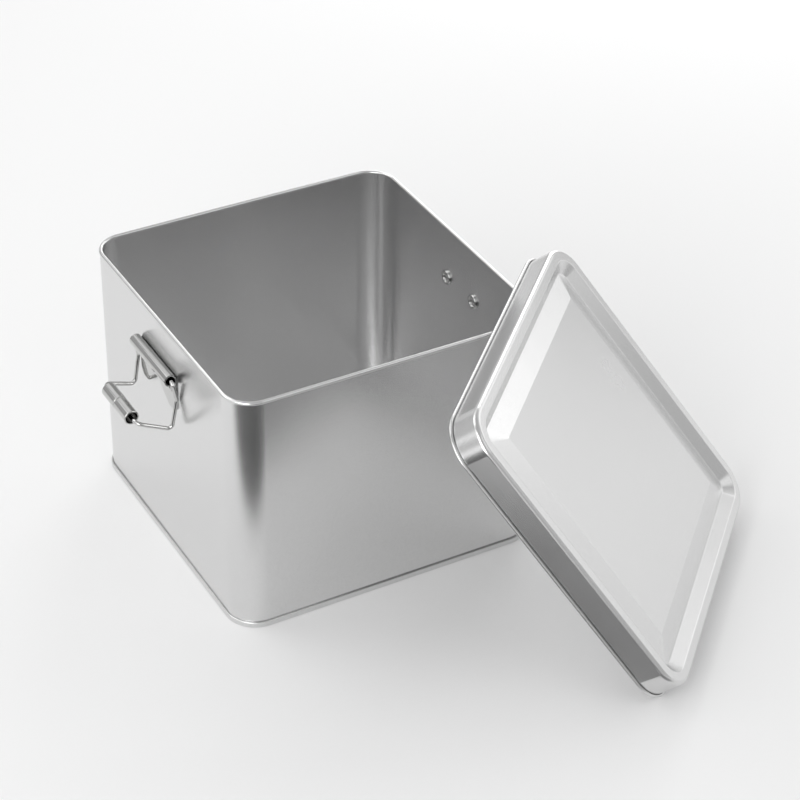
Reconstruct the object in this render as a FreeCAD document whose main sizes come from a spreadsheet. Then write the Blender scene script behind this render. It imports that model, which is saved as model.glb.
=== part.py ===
"""Square metal lunch box with a loose pressed lid and two wire clips.

The box is a rolled tinplate shell with a double-seamed base. A hinge plate on each side holds a wire
clip, whose two sleeves snap into the lid's recess. The lid is off and leans on the front right corner.
The origin is the middle of the base, on the surface that the box stands on: X right, Y back, Z up.
"""
import FreeCAD, Part
import math
import os
import re
import Sketcher

doc = FreeCAD.newDocument("LunchBox")

# ---------------------------------------------------------------- driving dimensions, mm and degrees
SIZES = (
    ("box_width", 170.0, "outside of the walls, left to right"),
    ("box_depth", 170.0, "outside of the walls, front to back"),
    ("box_height", 135.7, "surface to the top of the rim"),
    ("box_corner", 15.5, "outside radius of the wall corners"),
    ("wall_sheet", 0.3, "tinplate of the shell and the lid"),
    ("rim_radius", 1.05, "rolled rim, half its thickness"),
    ("rim_proud", 0.45, "rolled rim outside the wall"),
    ("base_sheet", 0.25, "tinplate of the base"),
    ("seam_height", 3.2, "double seam, which is also the feet"),
    ("seam_gap", 0.05, "between the folded layers of the seam"),
    ("lid_gap", 1.2, "between the rolled rim and the lid's skirt"),
    ("lid_height", 16.05, "skirt, top to bottom"),
    ("lid_rim", 6.35, "flat ring round the lid's recess"),
    ("lid_edge", 2.4, "radius of the lid's outer top edge"),
    ("lid_recess", 4.25, "depth of the recess at its crease"),
    ("lid_slope", 5.4, "width of the recess's sloped side"),
    ("lid_facet", 11.9, "width of the bevel round the plateau"),
    ("lid_brow", 1.0, "radius of the flat ring's inner edge"),
    ("lid_plateau", 2.25, "plateau below the flat ring"),
    ("plateau_corner", 0.6, "corner radius of the plateau"),
    ("bead_radius", 0.9, "rolled edge of the lid, half its thickness"),
    ("lean_gap", 0.3, "between the leaning lid and the rolled rim"),
    ("lean_reach", 14.9, "lid's upper edge past the box's corner"),
    ("lean_aside", 28.3, "lid's middle to one side of the corner"),
    ("lean_heading", -45.5, "direction that the lid leans out in"),
    ("hinge_drop", 23.3, "rim top down to the clip's axis"),
    ("hinge_aside", 2.2, "clip off the middle of its wall"),
    ("hinge_sheet", 0.8, "sheet of the hinge plate"),
    ("hinge_radius", 3.3, "rolled hinge tube, outside"),
    ("hinge_length", 41.7, "hinge tube and plate along the wall"),
    ("ear_drop", 20.2, "lowest edge of the plate below the axis"),
    ("ear_width", 8.4, "flat foot of each ear of the plate"),
    ("arch_drop", 11.0, "notch between the ears, below the axis"),
    ("rivet_spacing", 27.0, "between the two rivets of a plate"),
    ("rivet_drop", 7.3, "rivets below the axis"),
    ("rivet_shank", 3.6, "rivet shank diameter"),
    ("rivet_head", 7.0, "rivet head diameter, outside"),
    ("rivet_clinch", 8.2, "clinched end diameter, inside the box"),
    ("rivet_rise", 1.2, "height of the head and of the clinched end"),
    ("clinch_lip", 1.4, "width of the clinched ring round its hollow"),
    ("rivet_gap", 0.05, "radial clearance of the rivet holes"),
    ("wire_diameter", 2.1, "clip wire"),
    ("wire_overhang", 2.15, "clip's legs past the ends of the hinge tube"),
    ("elbow_drop", 10.3, "clip's elbow below the axis"),
    ("elbow_gap", 0.25, "sharp corner of the clip's elbow off the wall"),
    ("leg_drop", 27.4, "clip's knee below the axis"),
    ("leg_out", 1.1, "clip's knee outside the axis"),
    ("knee_inset", 0.7, "clip narrower at its knees than at its axis"),
    ("roller_out", 18.5, "sleeves' axis outside the clip's axis"),
    ("roller_drop", 20.2, "sleeves' axis below the clip's axis"),
    ("roller_inset", 3.2, "clip narrower at the sleeves than at its axis"),
    ("hinge_bend", 2.0, "clip's bend radius at the ends of the hinge tube"),
    ("elbow_bend", 6.0, "clip's bend radius at its elbows"),
    ("knee_bend", 2.5, "clip's bend radius at its knees"),
    ("roller_bend", 4.0, "clip's bend radius beside the sleeves"),
    ("wire_split", 1.0, "gap between the wire's two ends"),
    ("sleeve_radius", 3.9, "sleeve, outside"),
    ("sleeve_sheet", 0.7, "sheet of the sleeve"),
    ("sleeve_length", 13.9, "one sleeve"),
    ("sleeve_gap", 0.2, "between the two sleeves of a clip"),
)
ALIASES = {alias for alias, number, note in SIZES}
sheet = doc.addObject("Spreadsheet::Sheet", "Sizes")
for row, (alias, number, note) in enumerate(SIZES, start=1):
    sheet.set(f"A{row}", alias)
    sheet.set(f"B{row}", str(number))
    sheet.set(f"C{row}", note)
    sheet.setAlias(f"B{row}", alias)
doc.recompute()


def cell(alias):
    """The number that the sheet holds under an alias."""
    return float(sheet.get(alias))


def bound(text):
    """A formula on aliases, with each alias as the document's expressions name it."""
    return re.sub("[a-z_]+", lambda word: "Sizes." + word[0] if word[0] in ALIASES else word[0], text)


def worked(text):
    """The value of such a formula, as the document works it out."""
    return float(sheet.evalExpression(bound(text)))


# ---------------------------------------------------------------- sketch helpers
def new_body(name):
    body = doc.addObject("PartDesign::Body", name)
    body.Label = name
    return body


def new_sketch(body, name, plane, height="0"):
    """A sketch on one of the body's own origin planes, lifted off it by a formula."""
    sketch = body.newObject("Sketcher::SketchObject", name)
    support = next(item for item in body.Origin.OriginFeatures if item.Role == plane)
    sketch.AttachmentSupport = [(support, "")]
    sketch.MapMode = "FlatFace"
    if height != "0":
        sketch.setExpression("AttachmentOffset.Base.z", bound(height))
    doc.recompute()
    return sketch


def fix_point(sketch, piece, end, across, up):
    """Hold one end of a sketch piece at two formulas from the sketch's origin."""
    for kind, text in (("DistanceX", across), ("DistanceY", up)):
        index = sketch.addConstraint(Sketcher.Constraint(kind, piece, end, worked(text)))
        sketch.setExpression(f"Constraints[{index}]", bound(text))


def fix_radius(sketch, piece, text):
    index = sketch.addConstraint(Sketcher.Constraint("Radius", piece, worked(text)))
    sketch.setExpression(f"Constraints[{index}]", bound(text))


def outline(sketch, corners):
    """A closed outline from (across, up, radius) formulas. Its corners are rounded where radius isn't 0."""
    spots = [FreeCAD.Vector(worked(across), worked(up), 0) for across, up, radius in corners]
    radii = [worked(radius) for across, up, radius in corners]
    count = len(corners)
    ends = []
    for i, spot in enumerate(spots):
        before = (spots[i - 1] - spot).normalize()
        after = (spots[(i + 1) % count] - spot).normalize()
        half = before.getAngle(after) / 2
        setback = radii[i] / math.tan(half)
        ends.append((spot + before * setback, spot + after * setback, before, after, half))
    lines = []
    for i in range(count):
        lines.append(sketch.addGeometry(Part.LineSegment(ends[i][1], ends[(i + 1) % count][0]), False))
    for i, (across, up, radius) in enumerate(corners):
        line_in, line_out = lines[i - 1], lines[i]
        if radii[i] == 0:
            sketch.addConstraint(Sketcher.Constraint("Coincident", line_in, 2, line_out, 1))
            fix_point(sketch, line_out, 1, across, up)
            continue
        start, stop, before, after, half = ends[i]
        middle = spots[i] + (before + after).normalize() * (radii[i] / math.sin(half))
        crown = middle + (spots[i] - middle).normalize() * radii[i]
        arc = sketch.addGeometry(Part.Arc(start, crown, stop), False)
        turns_left = (before * -1).cross(after).z > 0
        first, last = (1, 2) if turns_left else (2, 1)
        sketch.addConstraint(Sketcher.Constraint("Tangent", line_in, 2, arc, first))
        sketch.addConstraint(Sketcher.Constraint("Tangent", arc, last, line_out, 1))
        fix_radius(sketch, arc, radius)
        corner = sketch.addGeometry(Part.Point(spots[i]), True)
        sketch.addConstraint(Sketcher.Constraint("PointOnObject", corner, 1, line_in))
        sketch.addConstraint(Sketcher.Constraint("PointOnObject", corner, 1, line_out))
        fix_point(sketch, corner, 1, across, up)


def rounded_square(sketch, half_x, half_y, radius):
    outline(sketch, (
        (f"{half_x}", f"{half_y}", radius),
        (f"0 - ( {half_x} )", f"{half_y}", radius),
        (f"0 - ( {half_x} )", f"0 - ( {half_y} )", radius),
        (f"{half_x}", f"0 - ( {half_y} )", radius),
    ))


def circle(sketch, across, up, radius):
    spot = FreeCAD.Vector(worked(across), worked(up), 0)
    ring = sketch.addGeometry(Part.Circle(spot, FreeCAD.Vector(0, 0, 1), worked(radius)), False)
    fix_point(sketch, ring, 3, across, up)
    fix_radius(sketch, ring, radius)


def rolled_strip(sketch, across, up, outer, thick, first, last):
    """The section of a sheet rolled round a centre, anticlockwise from one angle to another, degrees."""
    centre = FreeCAD.Vector(worked(across), worked(up), 0)
    arcs = []
    for radius in (outer, f"{outer} - {thick}"):
        ring = Part.Circle(centre, FreeCAD.Vector(0, 0, 1), worked(radius))
        turn = Part.ArcOfCircle(ring, math.radians(first), math.radians(last))
        arcs.append(sketch.addGeometry(turn, False))
        fix_point(sketch, arcs[-1], 3, across, up)
        fix_radius(sketch, arcs[-1], radius)
    for end, angle in ((1, first), (2, last)):
        points = [sketch.getPoint(arc, end) for arc in arcs]
        cap = sketch.addGeometry(Part.LineSegment(points[0], points[1]), False)
        sketch.addConstraint(Sketcher.Constraint("Coincident", cap, 1, arcs[0], end))
        sketch.addConstraint(Sketcher.Constraint("Coincident", cap, 2, arcs[1], end))
        sketch.addConstraint(Sketcher.Constraint("PointOnObject", arcs[0], 3, cap))
        bearing = Sketcher.Constraint("Angle", cap, math.radians(angle + 180))
        sketch.addConstraint(bearing)


def pad(body, sketch, name, length, midplane=False, down=False):
    feature = body.newObject("PartDesign::Pad", name)
    feature.Profile = sketch
    feature.setExpression("Length", bound(length))
    feature.Midplane = midplane
    feature.Reversed = down
    doc.recompute()
    return feature


def pipe(body, section, path, name):
    """Sweep a section once round a closed path of the same body."""
    feature = body.newObject("PartDesign::AdditivePipe", name)
    feature.Profile = section
    feature.Spine = path
    doc.recompute()
    return feature


# ---------------------------------------------------------------- shell and base
HALF_X = "box_width / 2"
HALF_Y = "box_depth / 2"
AXIS_HEIGHT = "box_height - hinge_drop"
RIM_X = f"{HALF_X} + rim_proud - rim_radius"
RIM_Z = "box_height - rim_radius"
# the folded layers of the seam, from the wall outwards: cover hook, body hook, seaming wall
BODY_HOOK = f"{HALF_X} + seam_gap * 2 + base_sheet"
SEAM_WALL = f"{BODY_HOOK} + wall_sheet + seam_gap"
SEAM_OUT = f"{SEAM_WALL} + base_sheet"
FLANGE = "base_sheet + seam_gap"


def wall_path(body, name):
    path = new_sketch(body, name, "XY_Plane")
    rounded_square(path, HALF_X, HALF_Y, "box_corner")
    return path


def make_shell():
    body = new_body("body_shell")
    path = wall_path(body, "ShellPath")
    wall = new_sketch(body, "ShellWall", "XY_Plane", FLANGE)
    rounded_square(wall, HALF_X, HALF_Y, "box_corner")
    rounded_square(wall, f"{HALF_X} - wall_sheet", f"{HALF_Y} - wall_sheet", "box_corner - wall_sheet")
    pad(body, wall, "ShellTube", f"{RIM_Z} - rim_radius * 0.6 - ( {FLANGE} )")
    rim = new_sketch(body, "RimSection", "XZ_Plane")
    rolled_strip(rim, RIM_X, RIM_Z, "rim_radius", "wall_sheet", -75, 225)
    pipe(body, rim, path, "RolledRim")
    hook = new_sketch(body, "HookSection", "XZ_Plane")
    outline(hook, (
        (f"{HALF_X} - wall_sheet", FLANGE, "0"),
        (f"{BODY_HOOK} + wall_sheet", FLANGE, "base_sheet - seam_gap"),
        (f"{BODY_HOOK} + wall_sheet", "seam_height - base_sheet - seam_gap * 2", "0"),
        (BODY_HOOK, "seam_height - base_sheet - seam_gap * 2", "0"),
        (BODY_HOOK, f"{FLANGE} + wall_sheet", "0"),
        (f"{HALF_X} - wall_sheet", f"{FLANGE} + wall_sheet", "0"),
    ))
    pipe(body, hook, path, "BodyHook")
    for side, name in ((-1, "Left"), (1, "Right")):
        sign = "0 - " if side > 0 else ""
        depth = f"{side} * ( {HALF_X} + rim_radius )"
        holes = new_sketch(body, f"{name}RivetHoles", "YZ_Plane", depth)
        for end in ("-", "+"):
            across = f"{sign}hinge_aside {end} rivet_spacing / 2"
            circle(holes, across, f"{AXIS_HEIGHT} - rivet_drop", "rivet_shank / 2 + rivet_gap")
        cut = body.newObject("PartDesign::Pocket", f"{name}RivetBores")
        cut.Profile = holes
        cut.setExpression("Length", bound("rim_radius + wall_sheet * 2"))
        cut.Reversed = side < 0
        doc.recompute()
    return body


def make_base():
    """Recessed panel, wall inside the shell, seam round the foot of the wall, and its folded hook."""
    body = new_body("base_panel")
    chuck = f"{HALF_X} - wall_sheet - seam_gap"
    corner = "box_corner - wall_sheet - seam_gap"
    panel = new_sketch(body, "PanelOutline", "XY_Plane", "seam_height - base_sheet")
    rounded_square(panel, chuck, f"{HALF_Y} - wall_sheet - seam_gap", corner)
    pad(body, panel, "Panel", "base_sheet")
    path = wall_path(body, "SeamPath")
    seam = new_sketch(body, "SeamSection", "XZ_Plane")
    outline(seam, (
        (f"{chuck} - base_sheet", "0", "0"),
        (SEAM_OUT, "0", "base_sheet * 2"),
        (SEAM_OUT, "seam_height", "base_sheet * 2"),
        (f"{HALF_X} + seam_gap", "seam_height", "base_sheet * 2"),
        (f"{HALF_X} + seam_gap", f"{FLANGE} + wall_sheet + seam_gap", "0"),
        (f"{HALF_X} + seam_gap + base_sheet", f"{FLANGE} + wall_sheet + seam_gap", "0"),
        (f"{HALF_X} + seam_gap + base_sheet", "seam_height - base_sheet", "base_sheet"),
        (SEAM_WALL, "seam_height - base_sheet", "base_sheet"),
        (SEAM_WALL, "base_sheet", "base_sheet"),
        (chuck, "base_sheet", "0"),
        (chuck, "seam_height", "0"),
        (f"{chuck} - base_sheet", "seam_height", "0"),
    ))
    pipe(body, seam, path, "DoubleSeam")
    return body


# ---------------------------------------------------------------- lid, drawn level with its ring at z = 0
SKIRT_X = f"{HALF_X} + rim_proud + lid_gap + wall_sheet"
SKIRT_Y = f"{HALF_Y} + rim_proud + lid_gap + wall_sheet"
SKIRT_CORNER = "box_corner + rim_proud + lid_gap + wall_sheet"
BEAD_Z = "0 - lid_height + bead_radius"


def lid_square(sketch, inset):
    """The lid's outline, drawn in from the skirt by an inset, with concentric corners."""
    rounded_square(sketch, f"{SKIRT_X} - ( {inset} )", f"{SKIRT_Y} - ( {inset} )",
                   f"{SKIRT_CORNER} - ( {inset} )")


def make_lid():
    body = new_body("lid")
    ring = f"{SKIRT_X} - lid_rim"
    crease = f"{ring} - lid_slope"
    steep = "atan(lid_recess / lid_slope)"
    path = new_sketch(body, "LidPath", "XY_Plane")
    lid_square(path, "0")
    section = new_sketch(body, "LidSection", "XZ_Plane")
    outline(section, (
        (SKIRT_X, f"{BEAD_Z} - wall_sheet / 3", "0"),
        (SKIRT_X, "0", "lid_edge"),
        (ring, "0", "lid_brow"),
        (crease, "0 - lid_recess", "0"),
        (crease, f"0 - lid_recess - wall_sheet / cos({steep})", "0"),
        (f"{ring} + wall_sheet * tan({steep} / 2)", "0 - wall_sheet", "lid_brow - wall_sheet"),
        (f"{SKIRT_X} - wall_sheet", "0 - wall_sheet", "lid_edge - wall_sheet"),
        (f"{SKIRT_X} - wall_sheet", f"{BEAD_Z} - wall_sheet / 3", "0"),
    ))
    pipe(body, section, path, "SkirtRingAndSlope")
    bead = new_sketch(body, "BeadSection", "XZ_Plane")
    rolled_strip(bead, f"{SKIRT_X} - wall_sheet + bead_radius", BEAD_Z, "bead_radius", "wall_sheet", 180, 470)
    pipe(body, bead, path, "RolledBead")
    blank = new_sketch(body, "PanelBlank", "XY_Plane", "0 - lid_recess - wall_sheet")
    lid_square(blank, "lid_rim + lid_slope - wall_sheet / 3")
    pad(body, blank, "Panel", "wall_sheet")
    for kind, name, drop in (("AdditiveLoft", "Raised", "0"), ("SubtractiveLoft", "Hollow", "wall_sheet")):
        foot = new_sketch(body, f"{name}Foot", "XY_Plane", f"0 - lid_recess - {drop}")
        lid_square(foot, f"lid_rim + lid_slope + {drop} / 3")
        top = new_sketch(body, f"{name}Top", "XY_Plane", f"0 - lid_plateau - {drop}")
        edge = "lid_rim + lid_slope + lid_facet"
        rounded_square(top, f"{SKIRT_X} - ( {edge} )", f"{SKIRT_Y} - ( {edge} )", "plateau_corner")
        loft = body.newObject(f"PartDesign::{kind}", f"{name}Plateau")
        loft.Profile = foot
        loft.Sections = [top]
        loft.Ruled = True
        doc.recompute()
    body.Placement = leaning_place()
    return body


def leaning_place():
    """Lower bead on the ground, upper bead on the rolled rim, both sides of the front right corner."""
    bead_half = worked(f"{SKIRT_X} - wall_sheet + bead_radius")
    bead_up = worked(BEAD_Z)
    bead = cell("bead_radius")
    tilt = math.asin((cell("box_height") + cell("lean_gap")) / (2 * bead_half))
    heading = math.radians(cell("lean_heading"))
    out = FreeCAD.Vector(math.cos(heading), math.sin(heading), 0)
    along = FreeCAD.Vector(-math.sin(heading), math.cos(heading), 0)
    round_corner = cell("box_corner") + cell("rim_proud")
    corner = FreeCAD.Vector(
        cell("box_width") / 2 + cell("rim_proud") - round_corner,
        round_corner - cell("rim_proud") - cell("box_depth") / 2,
        0,
    )
    upper_edge = corner.dot(out) + round_corner - cell("lean_reach")
    reach = upper_edge + bead_half * math.cos(tilt) - bead_up * math.sin(tilt)
    aside = corner.dot(along) - cell("lean_aside")
    rise = bead + bead_half * math.sin(tilt) - bead_up * math.cos(tilt)
    down_slope = out * math.cos(tilt) + FreeCAD.Vector(0, 0, -math.sin(tilt))
    facing = out * math.sin(tilt) + FreeCAD.Vector(0, 0, math.cos(tilt))
    turn = FreeCAD.Rotation(down_slope, along, facing, "ZXY")
    return FreeCAD.Placement(out * reach + along * aside + FreeCAD.Vector(0, 0, rise), turn)


# ---------------------------------------------------------------- clips
# Each clip is drawn for the right wall: X out of the wall, Y along it, origin on the wall at the axis's
# height. The left one is the same clip turned half round.
def clip_place(side, along=0.0, up=0.0):
    turn = FreeCAD.Rotation(FreeCAD.Vector(0, 0, 1), 0 if side > 0 else 180)
    foot = FreeCAD.Vector(side * cell("box_width") / 2, -side * cell("hinge_aside"), worked(AXIS_HEIGHT))
    return FreeCAD.Placement(foot + turn.multVec(FreeCAD.Vector(0, along, up)), turn)


def make_hinge_plate(name, side):
    """Sheet plate on the wall with two ears, its upper edge rolled into the hinge tube."""
    body = new_body(f"{name}_hinge_plate")
    ears = new_sketch(body, f"{name}PlateOutline", "YZ_Plane")
    half = "hinge_length / 2"
    low = "0 - ear_drop"
    outline(ears, (
        (half, "0", "0"),
        (f"0 - {half}", "0", "0"),
        (f"0 - {half}", low, "ear_width / 2"),
        (f"ear_width - {half}", low, "ear_width / 3"),
        ("0", "0 - arch_drop", "ear_width / 3"),
        (f"{half} - ear_width", low, "ear_width / 3"),
        (half, low, "ear_width / 2"),
    ))
    pad(body, ears, f"{name}Plate", "hinge_sheet")
    roll = new_sketch(body, f"{name}TubeSection", "XZ_Plane")
    rolled_strip(roll, "hinge_radius", "0", "hinge_radius", "hinge_sheet", -145, 180)
    pad(body, roll, f"{name}Tube", "hinge_length", midplane=True)
    bores = new_sketch(body, f"{name}PlateHoles", "YZ_Plane", "hinge_sheet")
    for end in ("0 -", "0 +"):
        circle(bores, f"{end} rivet_spacing / 2", "0 - rivet_drop", "rivet_shank / 2 + rivet_gap")
    cut = body.newObject("PartDesign::Pocket", f"{name}PlateBores")
    cut.Profile = bores
    cut.Type = "ThroughAll"
    doc.recompute()
    body.Placement = clip_place(side)
    return body


def make_rivet(name, side, end):
    """Tubular rivet: low head on the plate, end rolled back into a ring inside the box."""
    body = new_body(f"{name}_rivet")
    inside = "0 - wall_sheet"
    section = new_sketch(body, f"{name}_rivet_section", "XZ_Plane")
    outline(section, (
        (f"{inside} - rivet_rise / 4", "0", "0"),
        ("hinge_sheet + rivet_rise", "0", "0"),
        ("hinge_sheet + rivet_rise", "rivet_head / 2", "rivet_rise / 2"),
        ("hinge_sheet", "rivet_head / 2", "0"),
        ("hinge_sheet", "rivet_shank / 2", "0"),
        (inside, "rivet_shank / 2", "0"),
        (inside, "rivet_clinch / 2", "0"),
        (f"{inside} - rivet_rise", "rivet_clinch / 2", "rivet_rise / 2"),
        (f"{inside} - rivet_rise", "rivet_clinch / 2 - clinch_lip", "rivet_rise / 3"),
        (f"{inside} - rivet_rise / 4", "rivet_clinch / 2 - clinch_lip", "0"),
    ))
    turned = body.newObject("PartDesign::Revolution", f"{name}_rivet_turned")
    turned.Profile = section
    turned.ReferenceAxis = (section, ["H_Axis"])
    turned.Angle = 360
    doc.recompute()
    body.Placement = clip_place(side, end * cell("rivet_spacing") / 2, -cell("rivet_drop"))
    return body


def wire_points():
    """Corners of the clip wire's route and the bend at each, from one butted end to the other."""
    axis = cell("hinge_radius")
    wide = cell("hinge_length") / 2 + cell("wire_overhang")
    elbow = cell("wire_diameter") / 2 + cell("elbow_gap")
    half_route = (
        (FreeCAD.Vector(axis, cell("wire_split") / 2, 0), 0),
        (FreeCAD.Vector(axis, wide, 0), cell("hinge_bend")),
        (FreeCAD.Vector(elbow, wide, -cell("elbow_drop")), cell("elbow_bend")),
        (FreeCAD.Vector(axis + cell("leg_out"), wide - cell("knee_inset"), -cell("leg_drop")),
         cell("knee_bend")),
        (FreeCAD.Vector(axis + cell("roller_out"), wide - cell("roller_inset"), -cell("roller_drop")),
         cell("roller_bend")),
    )
    mirrored = [(FreeCAD.Vector(spot.x, -spot.y, spot.z), bend) for spot, bend in reversed(half_route)]
    return list(half_route) + mirrored


def bent_route(points):
    """Straight runs joined by tangent arcs."""
    edges = []
    last = points[0][0]
    for i in range(1, len(points) - 1):
        spot, bend = points[i]
        before = (points[i - 1][0] - spot).normalize()
        after = (points[i + 1][0] - spot).normalize()
        half = before.getAngle(after) / 2
        start = spot + before * (bend / math.tan(half))
        stop = spot + after * (bend / math.tan(half))
        inward = (before + after).normalize()
        crown = spot + inward * (bend / math.sin(half) - bend)
        edges.append(Part.LineSegment(last, start).toShape())
        edges.append(Part.Arc(start, crown, stop).toShape())
        last = stop
    edges.append(Part.LineSegment(last, points[-1][0]).toShape())
    return Part.Wire(edges)


def make_clip_wire(name, side):
    points = wire_points()
    route = doc.addObject("Part::Feature", f"{name}_wire_route")
    route.Shape = bent_route(points)
    section = doc.addObject("Part::Circle", f"{name}_wire_section")
    section.setExpression("Radius", bound("wire_diameter / 2"))
    along_y = FreeCAD.Rotation(FreeCAD.Vector(0, 0, 1), FreeCAD.Vector(0, 1, 0))
    section.Placement = FreeCAD.Placement(points[0][0], along_y)
    wire = doc.addObject("Part::Sweep", f"{name}_clip_wire")
    wire.Label = f"{name}_clip_wire"
    wire.Sections = [section]
    wire.Spine = (route, [f"Edge{i}" for i in range(1, len(route.Shape.Edges) + 1)])
    wire.Solid = True
    wire.Frenet = False
    doc.recompute()
    wire.Placement = clip_place(side)
    return wire


def make_sleeve(name, side, end):
    """One of two short sleeves, rolled from sheet, that turn on the clip wire end to end."""
    body = new_body(f"{name}_sleeve")
    lift = "sleeve_gap / 2" if end < 0 else "0 - sleeve_gap / 2"
    section = new_sketch(body, f"{name}_sleeve_section", "XZ_Plane", lift)
    rolled_strip(section, "hinge_radius + roller_out", "0 - roller_drop",
                 "sleeve_radius", "sleeve_sheet", -178, 178)
    pad(body, section, f"{name}_sleeve_roll", "sleeve_length", down=end > 0)
    body.Placement = clip_place(side)
    return body


# ---------------------------------------------------------------- all the pieces
pieces = [make_shell(), make_base(), make_lid()]
for side_name, side in (("left", -1), ("right", 1)):
    pieces.append(make_hinge_plate(side_name, side))
    pieces.append(make_clip_wire(side_name, side))
    for end_name, world_end in (("front", -1), ("back", 1)):
        # turned half round, the left clip's own front end points to the back
        end = world_end * side
        pieces.append(make_rivet(f"{side_name}_{end_name}", side, end))
        pieces.append(make_sleeve(f"{side_name}_{end_name}", side, end))
doc.recompute()

failed = [item.Name for item in doc.Objects if "Invalid" in item.State or "Error" in item.State]
if failed:
    raise RuntimeError(f"failed objects: {failed}")
os.makedirs("parts", exist_ok=True)
for piece in pieces:
    shape = piece.Shape
    if shape.isNull() or not shape.isValid() or len(shape.Solids) != 1:
        raise RuntimeError(f"{piece.Label} isn't one valid solid")
    shape.exportStep(f"parts/{piece.Label}.step")
    box = shape.optimalBoundingBox()
    print(f"{piece.Label:20s} {shape.Volume:9.1f} mm3  x {box.XMin:7.2f} {box.XMax:7.2f}"
          f"  y {box.YMin:7.2f} {box.YMax:7.2f}  z {box.ZMin:7.2f} {box.ZMax:7.2f}")
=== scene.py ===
"""Square tinplate lunch box, lid off and leaning on it, with a wire clip on each side.

Each piece is modelled at rest, in metres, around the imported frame: X right, Y back, Z up.
"""
import math

import bpy
from mathutils import Matrix, Vector


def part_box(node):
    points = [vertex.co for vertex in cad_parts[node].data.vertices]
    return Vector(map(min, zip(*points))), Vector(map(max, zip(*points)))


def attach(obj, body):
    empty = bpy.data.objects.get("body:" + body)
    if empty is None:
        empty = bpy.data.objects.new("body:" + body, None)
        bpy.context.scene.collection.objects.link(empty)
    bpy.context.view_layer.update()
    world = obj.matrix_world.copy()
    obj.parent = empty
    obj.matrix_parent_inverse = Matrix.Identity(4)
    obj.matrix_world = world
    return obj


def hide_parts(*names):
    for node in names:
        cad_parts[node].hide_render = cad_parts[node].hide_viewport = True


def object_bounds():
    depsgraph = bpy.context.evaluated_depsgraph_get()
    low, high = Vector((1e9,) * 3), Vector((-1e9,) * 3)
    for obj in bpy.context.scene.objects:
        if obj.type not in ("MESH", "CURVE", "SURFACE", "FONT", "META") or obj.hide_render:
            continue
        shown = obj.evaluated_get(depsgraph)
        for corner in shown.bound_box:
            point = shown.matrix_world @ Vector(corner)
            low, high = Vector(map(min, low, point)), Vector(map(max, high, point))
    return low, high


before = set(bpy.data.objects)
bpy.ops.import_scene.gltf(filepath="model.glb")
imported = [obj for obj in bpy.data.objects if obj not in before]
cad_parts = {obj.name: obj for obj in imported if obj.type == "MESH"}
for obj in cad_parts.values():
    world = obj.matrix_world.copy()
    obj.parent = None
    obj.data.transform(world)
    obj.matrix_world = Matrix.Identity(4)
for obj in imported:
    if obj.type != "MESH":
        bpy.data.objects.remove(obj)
frame_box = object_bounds()


# ---------------------------------------------------------------- shell
# The four walls are one strip of satin tinplate, bent round a square former and welded where its ends
# meet. The upper edge is rolled outwards, over and down the inside into a smooth lip. The foot is
# flanged outwards and hooked into the base's seam.
MM = 0.001
NEAR = 0.001 * MM


def start_section(name, across, up):
    """A new piece in edit mode that is one vertex, the first point of a sheet's section."""
    bpy.ops.object.select_all(action="DESELECT")
    bpy.ops.mesh.primitive_plane_add(size=MM, location=(0, 0, 0))
    piece = bpy.context.object
    piece.name = name
    piece.data.name = name
    bpy.ops.object.mode_set(mode="EDIT")
    bpy.ops.mesh.merge(type="CENTER")
    bpy.ops.transform.translate(value=(across, 0, up))
    return piece


def section_end():
    """Where the section has got to: the one selected vertex."""
    bpy.ops.object.mode_set(mode="OBJECT")
    end = next(corner for corner in bpy.context.object.data.vertices if corner.select).co.copy()
    bpy.ops.object.mode_set(mode="EDIT")
    return end


def draw_roll(radius, start, stop, step=8):
    """Carry the section round a centre. Angles are seen from the front, anticlockwise from +X."""
    first = math.radians(start)
    centre = section_end() - Vector((math.cos(first), 0, math.sin(first))) * radius
    count = max(2, round(abs(stop - start) / step))
    bpy.ops.mesh.spin(steps=count, angle=math.radians(stop - start), center=centre, axis=(0, 1, 0))


def draw_through(*corners, step=8):
    """Carry the section on through (across, up, bend radius) corners, with an arc at each bend."""
    here = section_end()
    spots = [here] + [Vector((across, 0, up)) for across, up, bend in corners]
    for i, (across, up, bend) in enumerate(corners, start=1):
        goal = spots[i]
        if bend:
            back = (spots[i - 1] - spots[i]).normalized()
            onward = (spots[i + 1] - spots[i]).normalized()
            half = back.angle(onward) / 2
            goal = spots[i] + back * (bend / math.tan(half))
        if (goal - here).length > NEAR:
            bpy.ops.mesh.extrude_region_move(TRANSFORM_OT_translate={"value": goal - here})
        here = goal
        if bend:
            turn = math.pi - 2 * half
            centre = spots[i] + (back + onward).normalized() * (bend / math.sin(half))
            side = 1 if back.cross(onward).y > 0 else -1
            bpy.ops.mesh.spin(steps=max(2, round(math.degrees(turn) / step)), angle=turn,
                              center=centre, axis=(0, side, 0))
            here = spots[i] + onward * (bend / math.tan(half))


def pick(piece, test):
    """In edit mode, select just the vertices whose place passes the test, with their edges and faces."""
    bpy.ops.mesh.select_mode(type="VERT")
    bpy.ops.mesh.select_all(action="DESELECT")
    bpy.ops.object.mode_set(mode="OBJECT")
    for corner in piece.data.vertices:
        corner.select = test(corner.co)
    bpy.ops.object.mode_set(mode="EDIT")


def spin_corner(middle, steps=28):
    """Spin the whole section a quarter turn, round the middle of one corner of the box."""
    bpy.ops.mesh.select_all(action="SELECT")
    bpy.ops.transform.translate(value=(0, middle.y, 0))
    bpy.ops.mesh.spin(steps=steps, angle=math.pi / 2, center=middle, axis=(0, 0, -1))


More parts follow.
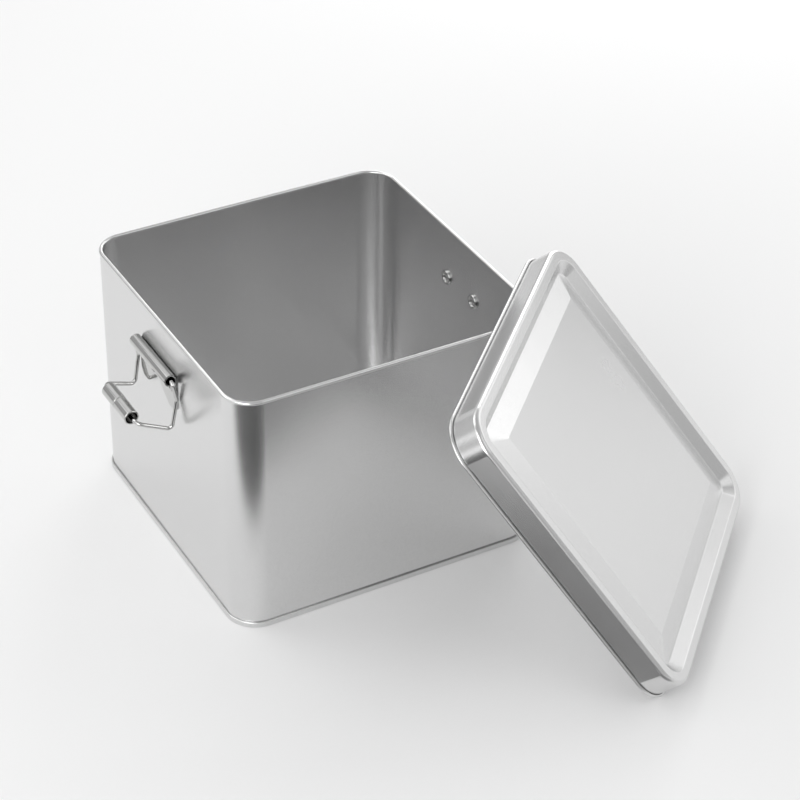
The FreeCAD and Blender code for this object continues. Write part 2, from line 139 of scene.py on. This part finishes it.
def carry_to_middle(piece, middle):
    """Draw both ends of the corner out to the box's middle planes, which makes a quarter of the piece."""
    pick(piece, lambda place: abs(place.y - middle.y) < NEAR and place.x > middle.x)
    bpy.ops.mesh.extrude_region_move(TRANSFORM_OT_translate={"value": (0, -middle.y, 0)})
    bpy.ops.transform.resize(value=(1, 0, 1), center_override=(0, 0, 0))
    pick(piece, lambda place: abs(place.x - middle.x) < NEAR and place.y > middle.y)
    bpy.ops.mesh.extrude_region_move(TRANSFORM_OT_translate={"value": (-middle.x, 0, 0)})
    bpy.ops.transform.resize(value=(0, 1, 1), center_override=(0, 0, 0))
    bpy.ops.object.mode_set(mode="OBJECT")


def mirror_quarter(piece):
    finish_with(piece, "MIRROR", use_axis=(True, True, False), merge_threshold=NEAR)


def finish_with(piece, kind, **settings):
    """Add a modifier with these settings and apply it."""
    bpy.ops.object.select_all(action="DESELECT")
    piece.select_set(True)
    bpy.context.view_layer.objects.active = piece
    bpy.ops.object.modifier_add(type=kind)
    modifier = piece.modifiers[-1]
    for key, value in settings.items():
        setattr(modifier, key, value)
    bpy.ops.object.modifier_apply(modifier=modifier.name)


def reach(place):
    """How far out a place is on the section that was carried round the corners."""
    past_x = max(abs(place.x) - corner_middle.x, 0)
    past_y = max(abs(place.y) - corner_middle.y, 0)
    return corner_middle.x + math.hypot(past_x, past_y)


def weld_and_face_out():
    """Merge what meets in the active piece, and point its faces outwards."""
    bpy.ops.object.mode_set(mode="EDIT")
    bpy.ops.mesh.select_all(action="SELECT")
    bpy.ops.mesh.remove_doubles(threshold=NEAR * 2)
    bpy.ops.mesh.normals_make_consistent(inside=False)
    bpy.ops.object.mode_set(mode="OBJECT")


def shade(piece, degrees=35):
    """Shade the bends smooth and keep the wide flats flat."""
    bpy.ops.object.shade_smooth_by_angle(angle=math.radians(degrees))
    finish_with(piece, "WEIGHTED_NORMAL", keep_sharp=True)


def stand_in(piece, node, body):
    """The piece is shown in place of a CAD node, and moves with its body."""
    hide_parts(node)
    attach(piece, body)


def linear(shade_of):
    """A colour from its sRGB hex value."""
    parts = [int(shade_of[i:i + 2], 16) / 255 for i in (1, 3, 5)]
    return [part / 12.92 if part <= 0.04045 else ((part + 0.055) / 1.055) ** 2.4 for part in parts] + [1]


def add_node(material, kind, settings=None, **links):
    """Add a node, set its properties, and set or link its sockets, whose names have _ for a space."""
    node = material.node_tree.nodes.new(kind)
    for key, value in (settings or {}).items():
        setattr(node, key, value)
    for name, value in links.items():
        socket = node.inputs[name.replace("_", " ")]
        if isinstance(value, bpy.types.NodeSocket):
            material.node_tree.links.new(value, socket)
        else:
            socket.default_value = value
    return node


def new_material(name):
    """An empty material, and its output node."""
    material = bpy.data.materials.new(name)
    material.use_nodes = True
    material.node_tree.nodes.clear()
    return material, material.node_tree.nodes.new("ShaderNodeOutputMaterial")


def give(piece, material):
    piece.data.materials.clear()
    piece.data.materials.append(material)


# Satin tinplate: cold-rolled steel with a stone-ground finish under a thin flow-brightened tin coat. It
# blurs what it mirrors, and a fine sandy grain breaks up the blur. The real grain is finer than a tenth
# of a millimetre, and is drawn coarser here so that it shows.
tin_grain_size = 0.7 * MM
tin_grain_depth = 0.010 * MM
tin_cloud_size = 35 * MM
tin_wave_size = 60 * MM
tin_wave_depth = 0.08 * MM
tinplate, tinplate_out = new_material("satin tinplate")
tin_place = add_node(tinplate, "ShaderNodeTexCoord").outputs["Object"]
tin_grain = add_node(tinplate, "ShaderNodeTexNoise", Vector=tin_place, Scale=1 / tin_grain_size, Detail=3.0,
                     Roughness=0.6).outputs["Fac"]
tin_cloud = add_node(tinplate, "ShaderNodeTexNoise", Vector=tin_place, Scale=1 / tin_cloud_size, Detail=4.0,
                     Roughness=0.55).outputs["Fac"]
tin_wave = add_node(tinplate, "ShaderNodeTexNoise", Vector=tin_place, Scale=1 / tin_wave_size, Detail=1.0,
                    Roughness=0.4).outputs["Fac"]
tin_colour = add_node(tinplate, "ShaderNodeMix", {"data_type": "RGBA"}, Factor=tin_grain)
tin_colour.inputs["A"].default_value = linear("#D0D0D0")
tin_colour.inputs["B"].default_value = linear("#E6E6E6")
tin_rough = add_node(tinplate, "ShaderNodeMapRange", Value=tin_cloud)
tin_rough.inputs["To Min"].default_value = 0.23
tin_rough.inputs["To Max"].default_value = 0.29
tin_wavy = add_node(tinplate, "ShaderNodeBump", Height=tin_wave, Strength=1.0, Distance=tin_wave_depth)
tin_bump = add_node(tinplate, "ShaderNodeBump", Height=tin_grain, Strength=1.0, Distance=tin_grain_depth,
                    Normal=tin_wavy.outputs["Normal"])
tin_shader = add_node(tinplate, "ShaderNodeBsdfPrincipled", Metallic=1.0, Normal=tin_bump.outputs["Normal"],
                      Base_Color=tin_colour.outputs["Result"], Roughness=tin_rough.outputs["Result"])
tinplate.node_tree.links.new(tin_shader.outputs["BSDF"], tinplate_out.inputs["Surface"])

wall_sheet = 0.3 * MM
foot_bend = 1.3 * wall_sheet
wall_corner = 15.5 * MM
rim_turn = 0.75 * MM
rim_proud = 0.45 * MM
rim_neck = 40
hook_proud = 0.65 * MM
hook_rise = 2.55 * MM

shell_low, shell_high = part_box("body_shell")
wall_x = shell_high.x - hook_proud
wall_y = shell_high.y - hook_proud
inner_x = wall_x - wall_sheet
corner_middle = Vector((wall_x - wall_corner, wall_y - wall_corner, 0))
rim_middle = Vector((wall_x + rim_proud - wall_sheet - rim_turn, 0, shell_high.z - wall_sheet - rim_turn))
neck = math.radians(rim_neck)
neck_top = rim_middle + Vector((math.cos(neck), 0, -math.sin(neck))) * rim_turn
neck_foot = neck_top.z - (neck_top.x - inner_x) / math.tan(neck)

shell = start_section("shell_walls", shell_high.x, shell_low.z + hook_rise)
draw_through(
    (shell_high.x, shell_low.z, foot_bend),
    (inner_x, shell_low.z, wall_sheet),
    (inner_x, neck_foot, wall_sheet),
    (neck_top.x, neck_top.z, 0),
)
draw_roll(rim_turn, -rim_neck, 225)
spin_corner(corner_middle)
carry_to_middle(shell, corner_middle)
mirror_quarter(shell)
weld_and_face_out()
finish_with(shell, "SOLIDIFY", thickness=wall_sheet, offset=1, use_even_offset=True)
shade(shell)
give(shell, tinplate)
stand_in(shell, "body_shell", "box")


# ---------------------------------------------------------------- base
# The bottom is a thinner tinplate panel, pressed up inside the foot of the walls and folded out, under
# and over their flange. The flattened fold is the double seam that the box stands on.
base_sheet = 0.25 * MM
seam_fit = 0.05 * MM
hook_low = 0.65 * MM
hook_bend = 1.3 * base_sheet
seam_round = 0.5 * MM
panel_round = 1.0 * MM

base_low, base_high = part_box("base_panel")
seam_inside = wall_x + seam_fit
chuck_x = inner_x - seam_fit - base_sheet
flat_x = chuck_x - 3 * panel_round
panel_up = base_high.z - base_sheet

base = start_section("base_and_seam", seam_inside, hook_low)
draw_through(
    (seam_inside, base_high.z, hook_bend),
    (base_high.x, base_high.z, seam_round),
    (base_high.x, base_low.z, seam_round),
    (chuck_x, base_low.z, seam_round),
    (chuck_x, panel_up, panel_round - base_sheet),
    (flat_x, panel_up, 0),
)
spin_corner(corner_middle)
carry_to_middle(base, corner_middle)
mirror_quarter(base)
bpy.ops.object.mode_set(mode="EDIT")
pick(base, lambda place: abs(reach(place) - flat_x) < NEAR)
bpy.ops.mesh.edge_face_add()
weld_and_face_out()
finish_with(base, "SOLIDIFY", thickness=base_sheet, offset=-1, use_even_offset=True)
shade(base)
give(base, tinplate)
stand_in(base, "base_panel", "box")


# ---------------------------------------------------------------- lid
# One pressing of the same satin tinplate: a skirt with its edge rolled out into a bead, a flat ring
# where the clips snap over, a sloped recess, and a bevel that rises again to a square plateau. It is
# pressed level, then laid where the lid leans: one bead on the floor, the other on the box's rim.
bead_radius = 0.9 * MM
lid_height = 16.05 * MM
lid_edge = 2.4 * MM
lid_rim = 6.35 * MM
lid_brow = 1.0 * MM
lid_slope = 5.4 * MM
lid_recess = 4.25 * MM
lid_crease = 0.5 * MM
lid_facet = 11.9 * MM
lid_plateau = 2.25 * MM
plateau_corner = 0.6 * MM
plateau_round = 2.0 * MM
plateau_flat = 0.45 * MM
bead_start = 110
bead_stop = -180

lid_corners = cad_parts["lid"].data.vertices
facing = {}
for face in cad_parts["lid"].data.polygons:
    if face.normal.z > 0:
        key = tuple(round(part, 2) for part in face.normal)
        facing[key] = facing.get(key, Vector((0, 0, 0))) + face.normal * face.area
lid_up = max(facing.values(), key=lambda total: total.length).normalized()
lid_along = Vector((0, 0, 1)).cross(lid_up).normalized()
lid_down = lid_along.cross(lid_up)


def span(axis):
    """How far the CAD lid reaches each way along a direction."""
    reaches = [corner.co.dot(axis) for corner in lid_corners]
    return min(reaches), max(reaches)


lid_half = (span(lid_down)[1] - span(lid_down)[0]) / 2
skirt_x = lid_half - 2 * bead_radius + wall_sheet
ring_x = skirt_x - lid_rim
crease_x = ring_x - lid_slope
plateau_x = crease_x - lid_facet
bead_x = lid_half - bead_radius
bead_up = -lid_height + bead_radius
bead_turn = bead_radius - wall_sheet
bead_end = math.radians(bead_start)
pulled_in = corner_middle.x + plateau_corner - plateau_x

lid = start_section("lid_pressing", bead_x + bead_turn * math.cos(bead_end),
                    bead_up + bead_turn * math.sin(bead_end))
draw_roll(bead_turn, bead_start, bead_stop)
draw_through(
    (skirt_x, 0, lid_edge),
    (ring_x, 0, lid_brow),
    (crease_x, -lid_recess, lid_crease),
    (plateau_x, -lid_plateau, plateau_round),
    (plateau_x - plateau_flat, -lid_plateau, 0),
)
# the plateau's corner is sharper than the others, so it is spun near the corner's middle and pulled in
pick(lid, lambda place: place.x < plateau_x + plateau_flat)
bpy.ops.transform.translate(value=(pulled_in, 0, 0))
spin_corner(corner_middle)
carry_to_middle(lid, corner_middle)
bpy.ops.object.mode_set(mode="EDIT")
pick(lid, lambda place: reach(place) < plateau_x + pulled_in + plateau_flat and place.x > NEAR)
bpy.ops.transform.translate(value=(-pulled_in, 0, 0))
pick(lid, lambda place: place.x < plateau_x + plateau_flat and place.y > NEAR
     and abs(place.z + lid_plateau) < plateau_flat)
bpy.ops.transform.translate(value=(0, -pulled_in, 0))
bpy.ops.object.mode_set(mode="OBJECT")
mirror_quarter(lid)
bpy.ops.object.mode_set(mode="EDIT")
pick(lid, lambda place: max(abs(place.x), abs(place.y)) < plateau_x - plateau_flat / 2)
bpy.ops.mesh.edge_face_add()
weld_and_face_out()
finish_with(lid, "SOLIDIFY", thickness=wall_sheet, offset=1, use_even_offset=True)
shade(lid)
lean = Matrix((lid_down, lid_along, lid_up)).transposed().to_4x4()
lean.translation = (lid_down * sum(span(lid_down)) / 2 + lid_along * sum(span(lid_along)) / 2
                    + lid_up * span(lid_up)[1])
lid.matrix_world = lean
bpy.ops.object.transform_apply(location=True, rotation=True, scale=True)
give(lid, tinplate)
stand_in(lid, "lid", "lid")


# ---------------------------------------------------------------- hinge plates
# Each clip swings in a plate of nickelled steel strip, blanked with two ears and an arch between them.
# Its upper edge is rolled into a tube round the wire, and the ears are riveted to the wall.
# Bright nickel plate: a hard mirror with a faint warm cast, dulled unevenly by handling.
nickel_haze_size = 2.5 * MM
nickel_haze_depth = 0.004 * MM
nickel, nickel_out = new_material("bright nickel plate")
nickel_place = add_node(nickel, "ShaderNodeTexCoord").outputs["Object"]
nickel_haze = add_node(nickel, "ShaderNodeTexNoise", Vector=nickel_place,
                       Scale=1 / nickel_haze_size, Detail=4.0, Roughness=0.6).outputs["Fac"]
nickel_rough = add_node(nickel, "ShaderNodeMapRange", Value=nickel_haze)
nickel_rough.inputs["To Min"].default_value = 0.03
nickel_rough.inputs["To Max"].default_value = 0.09
nickel_colour = add_node(nickel, "ShaderNodeMix", {"data_type": "RGBA"}, Factor=nickel_haze)
nickel_colour.inputs["A"].default_value = linear("#BCBCBB")
nickel_colour.inputs["B"].default_value = linear("#C9C9C8")
nickel_bump = add_node(nickel, "ShaderNodeBump", Height=nickel_haze, Strength=1.0, Distance=nickel_haze_depth)
nickel_shader = add_node(nickel, "ShaderNodeBsdfPrincipled", Metallic=1.0,
                         Normal=nickel_bump.outputs["Normal"],
                         Base_Color=nickel_colour.outputs["Result"], Roughness=nickel_rough.outputs["Result"])
nickel.node_tree.links.new(nickel_shader.outputs["BSDF"], nickel_out.inputs["Surface"])

hinge_sheet = 0.8 * MM
ear_width = 8.4 * MM
ear_round = 4.2 * MM
arch_drop = 11.0 * MM
arch_round = 2.8 * MM
tube_turn = 325
tube_steps = 44
cut_edge = 0.15 * MM

plate_low, plate_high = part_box("right_hinge_plate")
tube_radius = (plate_high.x - wall_x) / 2
axis_up = plate_high.z - tube_radius
clip_aside = (plate_low.y + plate_high.y) / 2
plate_half = (plate_high.y - plate_low.y) / 2
ear_drop = axis_up - plate_low.z


def set_on_wall(pattern, name, side, along=0, up=0):
    """A copy of a piece modelled facing the front, turned and moved onto the left or right wall."""
    bpy.ops.object.select_all(action="DESELECT")
    pattern.select_set(True)
    bpy.context.view_layer.objects.active = pattern
    bpy.ops.object.duplicate()
    piece = bpy.context.object
    piece.name = name
    piece.data.name = name
    turn = Matrix.Rotation(side * math.pi / 2, 4, "Z")
    spot = Vector((side * wall_x, side * clip_aside, axis_up)) + turn @ Vector((along, 0, up))
    piece.matrix_world = Matrix.Translation(spot) @ turn
    bpy.ops.object.transform_apply(location=True, rotation=True, scale=True)
    return piece


def throw_away(pattern):
    bpy.ops.object.select_all(action="DESELECT")
    pattern.select_set(True)
    bpy.ops.object.delete()


plate = start_section("plate_pattern", -plate_half, ear_round - ear_drop)
draw_through(
    (-plate_half, -ear_drop, ear_round),
    (ear_width - plate_half, -ear_drop, arch_round),
    (0, -arch_drop, arch_round),
    (plate_half - ear_width, -ear_drop, arch_round),
    (plate_half, -ear_drop, ear_round),
    (plate_half, ear_round - ear_drop, 0),
)
bpy.ops.mesh.select_all(action="SELECT")
bpy.ops.mesh.extrude_region_move(TRANSFORM_OT_translate={"value": (0, 0, ear_drop)})
bpy.ops.transform.resize(value=(1, 1, 0), center_override=(0, 0, 0))
bpy.ops.mesh.spin(steps=tube_steps, angle=math.radians(tube_turn), center=(0, -tube_radius, 0),
                  axis=(-1, 0, 0))
weld_and_face_out()
finish_with(plate, "SOLIDIFY", thickness=hinge_sheet, offset=-1, use_even_offset=True)
finish_with(plate, "BEVEL", width=cut_edge, segments=2, limit_method="ANGLE", angle_limit=math.radians(50))
shade(plate)
for side, side_name in ((-1, "left"), (1, "right")):
    hinge = set_on_wall(plate, f"{side_name}_hinge", side)
    give(hinge, nickel)
    stand_in(hinge, f"{side_name}_hinge_plate", "box")
throw_away(plate)


# ---------------------------------------------------------------- rivets
# Tubular steel rivets, two to a plate. A low domed head holds the plate outside; the hollow end is
# rolled back inside the box into a smooth ring.
rivet_spacing = 27.0 * MM
rivet_shank = 1.8 * MM
rivet_head = 3.5 * MM
rivet_ring = 4.1 * MM
rivet_rise = 1.2 * MM
rivet_lip = 1.4 * MM
rivet_edge = 0.3 * MM
dome_start = 0.72 * rivet_head
dome_round = 2.4 * MM
head_edge = 0.4 * MM

rivet_low, rivet_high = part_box("right_front_rivet")
rivet_up = (rivet_low.z + rivet_high.z) / 2 - axis_up
head_top = hinge_sheet + rivet_rise
ring_top = -wall_sheet - rivet_rise
hollow = -wall_sheet - rivet_rise / 4

rivet = start_section("rivet_pattern", 0, head_top)
draw_through(
    (dome_start, head_top, dome_round),
    (rivet_head, hinge_sheet + head_edge, rivet_edge),
    (rivet_head, hinge_sheet, 0),
    (rivet_shank, hinge_sheet, 0),
    (rivet_shank, -wall_sheet, 0),
    (rivet_ring, -wall_sheet, rivet_edge),
    (rivet_ring, ring_top, 0.6 * MM),
    (rivet_ring - rivet_lip, ring_top, 0.5 * MM),
    (rivet_ring - rivet_lip * 1.2, hollow, rivet_edge),
    (0, hollow, 0),
)
bpy.ops.mesh.select_all(action="SELECT")
bpy.ops.mesh.spin(steps=40, angle=math.tau, center=(0, 0, 0), axis=(0, 0, 1))
weld_and_face_out()
shade(rivet)
rivet.rotation_euler = (math.pi / 2, 0, 0)
bpy.ops.object.transform_apply(location=False, rotation=True, scale=False)
for side, side_name in ((-1, "left"), (1, "right")):
    for end, end_name in ((-1, "front"), (1, "back")):
        name = f"{side_name}_{end_name}_rivet"
        fixing = set_on_wall(rivet, f"{name}_turned", side, along=side * end * rivet_spacing / 2, up=rivet_up)
        give(fixing, nickel)
        stand_in(fixing, name, "box")
throw_away(rivet)


# ---------------------------------------------------------------- clip wires
# Each clip is one length of nickelled spring wire. It is bent down at both ends of the hinge tube, in
# towards the wall to elbows that nearly touch it, out again to the knees, and across through the sleeves.
wire_radius = 1.05 * MM
elbow_drop = 10.3 * MM
elbow_gap = 0.25 * MM
leg_drop = 27.4 * MM
leg_out = 1.1 * MM
knee_inset = 0.7 * MM
sleeve_inset = 3.2 * MM
wire_overhang = 2.15 * MM
wire_split = 1.0 * MM
hinge_bend = 2.0 * MM
elbow_bend = 6.0 * MM
knee_bend = 2.5 * MM
sleeve_bend = 4.0 * MM

sleeve_low, sleeve_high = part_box("right_front_sleeve")
sleeve_radius = (sleeve_high.x - sleeve_low.x) / 2
sleeve_out = sleeve_high.x - sleeve_radius - wall_x
sleeve_up = sleeve_high.z - sleeve_radius - axis_up
wide = plate_half + wire_overhang
half_route = (
    (Vector((wire_split / 2, -tube_radius, 0)), 0),
    (Vector((wide, -tube_radius, 0)), hinge_bend),
    (Vector((wide, -wire_radius - elbow_gap, -elbow_drop)), elbow_bend),
    (Vector((wide - knee_inset, -tube_radius - leg_out, -leg_drop)), knee_bend),
    (Vector((wide - sleeve_inset, -sleeve_out, sleeve_up)), sleeve_bend),
)
route = half_route + tuple((Vector((-spot.x, spot.y, spot.z)), bend) for spot, bend in reversed(half_route))

wire = start_section("wire_pattern", 0, 0)
bpy.ops.transform.translate(value=route[0][0])
here = route[0][0]
for i in range(1, len(route)):
    spot, bend = route[i]
    goal = spot
    if bend:
        back = (route[i - 1][0] - spot).normalized()
        onward = (route[i + 1][0] - spot).normalized()
        half = back.angle(onward) / 2
        goal = spot + back * (bend / math.tan(half))
    bpy.ops.mesh.extrude_region_move(TRANSFORM_OT_translate={"value": goal - here})
    here = goal
    if bend:
        centre = spot + (back + onward).normalized() * (bend / math.sin(half))
        bpy.ops.mesh.spin(steps=10, angle=math.pi - 2 * half, center=centre, axis=back.cross(onward))
        here = spot + onward * (bend / math.tan(half))
bpy.ops.object.mode_set(mode="OBJECT")
bpy.ops.object.convert(target="CURVE")
wire = bpy.context.object
wire.data.bevel_depth = wire_radius
wire.data.bevel_resolution = 6
wire.data.use_fill_caps = True
bpy.ops.object.convert(target="MESH")
wire = bpy.context.object
weld_and_face_out()
shade(wire)
for side, side_name in ((-1, "left"), (1, "right")):
    clip = set_on_wall(wire, f"{side_name}_wire", side)
    give(clip, nickel)
    stand_in(clip, f"{side_name}_clip_wire", f"{side_name}_clip")
throw_away(wire)


# ---------------------------------------------------------------- sleeves
# Two short sleeves turn end to end on each wire. Each is rolled from nickelled strip, so a fine seam
# runs along it, and its ends are tumbled round.
sleeve_sheet = 0.7 * MM
sleeve_length = sleeve_high.y - sleeve_low.y
sleeve_bore = sleeve_radius - sleeve_sheet
tumbled_edge = 0.45 * MM
bore_edge = 0.15 * MM
sleeve_seam = 4
seam_turn = 125

sleeve = start_section("sleeve_pattern", sleeve_bore, 0)
draw_through(
    (sleeve_bore, sleeve_length / 2, bore_edge),
    (sleeve_radius, sleeve_length / 2, tumbled_edge),
    (sleeve_radius, -sleeve_length / 2, tumbled_edge),
    (sleeve_bore, -sleeve_length / 2, bore_edge),
    (sleeve_bore, 0, 0),
)
bpy.ops.mesh.select_all(action="SELECT")
bpy.ops.mesh.remove_doubles(threshold=NEAR)
bpy.ops.mesh.edge_face_add()
bpy.ops.mesh.spin(steps=56, angle=math.radians(360 - sleeve_seam), center=(0, 0, 0), axis=(0, 0, 1))
weld_and_face_out()
shade(sleeve)
sleeve.matrix_world = Matrix.Rotation(math.pi / 2, 4, "Y") @ Matrix.Rotation(math.radians(seam_turn), 4, "Z")
bpy.ops.object.transform_apply(location=False, rotation=True, scale=False)
for side, side_name in ((-1, "left"), (1, "right")):
    for end, end_name in ((-1, "front"), (1, "back")):
        name = f"{side_name}_{end_name}_sleeve"
        roll = set_on_wall(sleeve, f"{name}_rolled", side)
        low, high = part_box(name)
        roll.location = (low + high) / 2 - Vector((side * wall_x, side * clip_aside, axis_up))
        bpy.ops.object.transform_apply(location=True, rotation=False, scale=False)
        give(roll, nickel)
        stand_in(roll, name, name)
throw_away(sleeve)


# ---------------------------------------------------------------- studio
# A white sweep, with square soft boxes in rings round the box. The tin is lit mostly by what it mirrors,
# so a dark card on the floor, seen only in reflections, is painted shadow: it stands for the floor's shade,
# darkens the front corner and fades to grey towards the lid.
floor_size = 6.0
bpy.ops.object.select_all(action="DESELECT")
bpy.ops.mesh.primitive_plane_add(size=floor_size, location=(0, 0, frame_box[0].z))
floor = bpy.context.object
floor.name = "floor"
# White paper: matt, with a faint mottle of fibres about 1.5 mm long.
paper_fibre_size = 1.5 * MM
paper, paper_out = new_material("white paper")
paper_place = add_node(paper, "ShaderNodeTexCoord").outputs["Object"]
paper_fibre = add_node(paper, "ShaderNodeTexNoise", Vector=paper_place,
                       Scale=1 / paper_fibre_size, Detail=2.0)
paper_colour = add_node(paper, "ShaderNodeMix", {"data_type": "RGBA"}, Factor=paper_fibre.outputs["Fac"])
paper_colour.inputs["A"].default_value = linear("#F2F2F2")
paper_colour.inputs["B"].default_value = linear("#F4F4F4")
paper_shader = add_node(paper, "ShaderNodeBsdfPrincipled", Roughness=0.9,
                        Base_Color=paper_colour.outputs["Result"])
paper.node_tree.links.new(paper_shader.outputs["BSDF"], paper_out.inputs["Surface"])
give(floor, paper)

card_middle = (-0.14, -0.32, frame_box[0].z + 2 * MM)
card_size = (0.50, 0.30, 1)
card_turn = -25
shadow_fade_span = 0.10
bpy.ops.mesh.primitive_plane_add(size=1, location=card_middle, rotation=(0, 0, math.radians(card_turn)))
card = bpy.context.object
card.name = "painted_shadow_card"
card.scale = card_size
bpy.ops.object.transform_apply(location=True, rotation=True, scale=True)
# Painted floor shadow: a matt dark card, painted paler towards one end so that the shade it mirrors fades
# out.
floor_shadow_paint, floor_shadow_out = new_material("painted floor shadow")
floor_shadow_place = add_node(floor_shadow_paint, "ShaderNodeTexCoord").outputs["Object"]
floor_shadow_across = add_node(floor_shadow_paint, "ShaderNodeSeparateXYZ", Vector=floor_shadow_place).outputs["X"]
floor_shadow_fade = add_node(floor_shadow_paint, "ShaderNodeMapRange", Value=floor_shadow_across)
floor_shadow_fade.inputs["From Min"].default_value = -shadow_fade_span
floor_shadow_fade.inputs["From Max"].default_value = shadow_fade_span
floor_shadow_colour = add_node(floor_shadow_paint, "ShaderNodeMix", {"data_type": "RGBA"}, Factor=floor_shadow_fade.outputs["Result"])
floor_shadow_colour.inputs["A"].default_value = linear("#3C3C3C")
floor_shadow_colour.inputs["B"].default_value = linear("#8C8C8C")
floor_shadow_shader = add_node(floor_shadow_paint, "ShaderNodeBsdfPrincipled", Roughness=1.0,
                       Base_Color=floor_shadow_colour.outputs["Result"])
floor_shadow_paint.node_tree.links.new(floor_shadow_shader.outputs["BSDF"], floor_shadow_out.inputs["Surface"])
give(card, floor_shadow_paint)
# The card is hidden from all rays but reflections, so it only paints shade into what the tin mirrors.
for hidden_from in ("visible_camera", "visible_diffuse", "visible_shadow", "visible_transmission"):
    setattr(card, hidden_from, False)

ring_radius = 1.25
ring_middle = Vector((0, 0, 0.07))
soft_box_size = 0.7
# heading in degrees from +X, height in degrees above the middle, watts
soft_boxes = (
    (225, 8, 5.1),
    (45, 28, 2.9),
    (212, 33, 3.0),
    (135, 50, 2.8),
    (45, 8, 1.3),
    (0, 28, 1.1),
    (180, 28, 1.0),
    (300, 36, 0.8),
    (90, 50, 0.7),
    (350, 8, 0.7),
    (90, 8, 0.4),
    (0, 50, 0.3),
)
for heading, height, watts in soft_boxes:
    flat = math.cos(math.radians(height))
    spot = ring_middle + ring_radius * Vector((
        math.cos(math.radians(heading)) * flat, math.sin(math.radians(heading)) * flat,
        math.sin(math.radians(height))))
    bpy.ops.object.light_add(type="AREA", location=spot)
    box = bpy.context.object
    box.name = f"soft_box_{heading}_{height}"
    box.data.shape = "SQUARE"
    box.data.size = soft_box_size
    box.data.energy = watts
    box.rotation_euler = (ring_middle - spot).to_track_quat("-Z", "Y").to_euler()
    box.visible_camera = False

world = bpy.data.worlds.new("studio air")
bpy.context.scene.world = world
world.use_nodes = True
world.node_tree.nodes["Background"].inputs["Color"].default_value = linear("#FFFFFF")
world.node_tree.nodes["Background"].inputs["Strength"].default_value = 0.52

camera_spot = (-0.4724, -0.9233, 0.7840)
camera_heading = -29.545
camera_tilt = 55.124
camera_roll = 0.955
camera_lens = 109.55
bpy.ops.object.camera_add(location=camera_spot)
camera = bpy.context.object
turn = (Matrix.Rotation(math.radians(camera_heading), 3, "Z")
        @ Matrix.Rotation(math.radians(camera_tilt), 3, "X")
        @ Matrix.Rotation(math.radians(camera_roll), 3, "Z"))
camera.rotation_euler = turn.to_euler()
camera.data.lens = camera_lens
camera.data.sensor_width = 36
camera.data.clip_start = 0.01
bpy.context.scene.camera = camera
bpy.context.scene.view_settings.view_transform = "Standard"
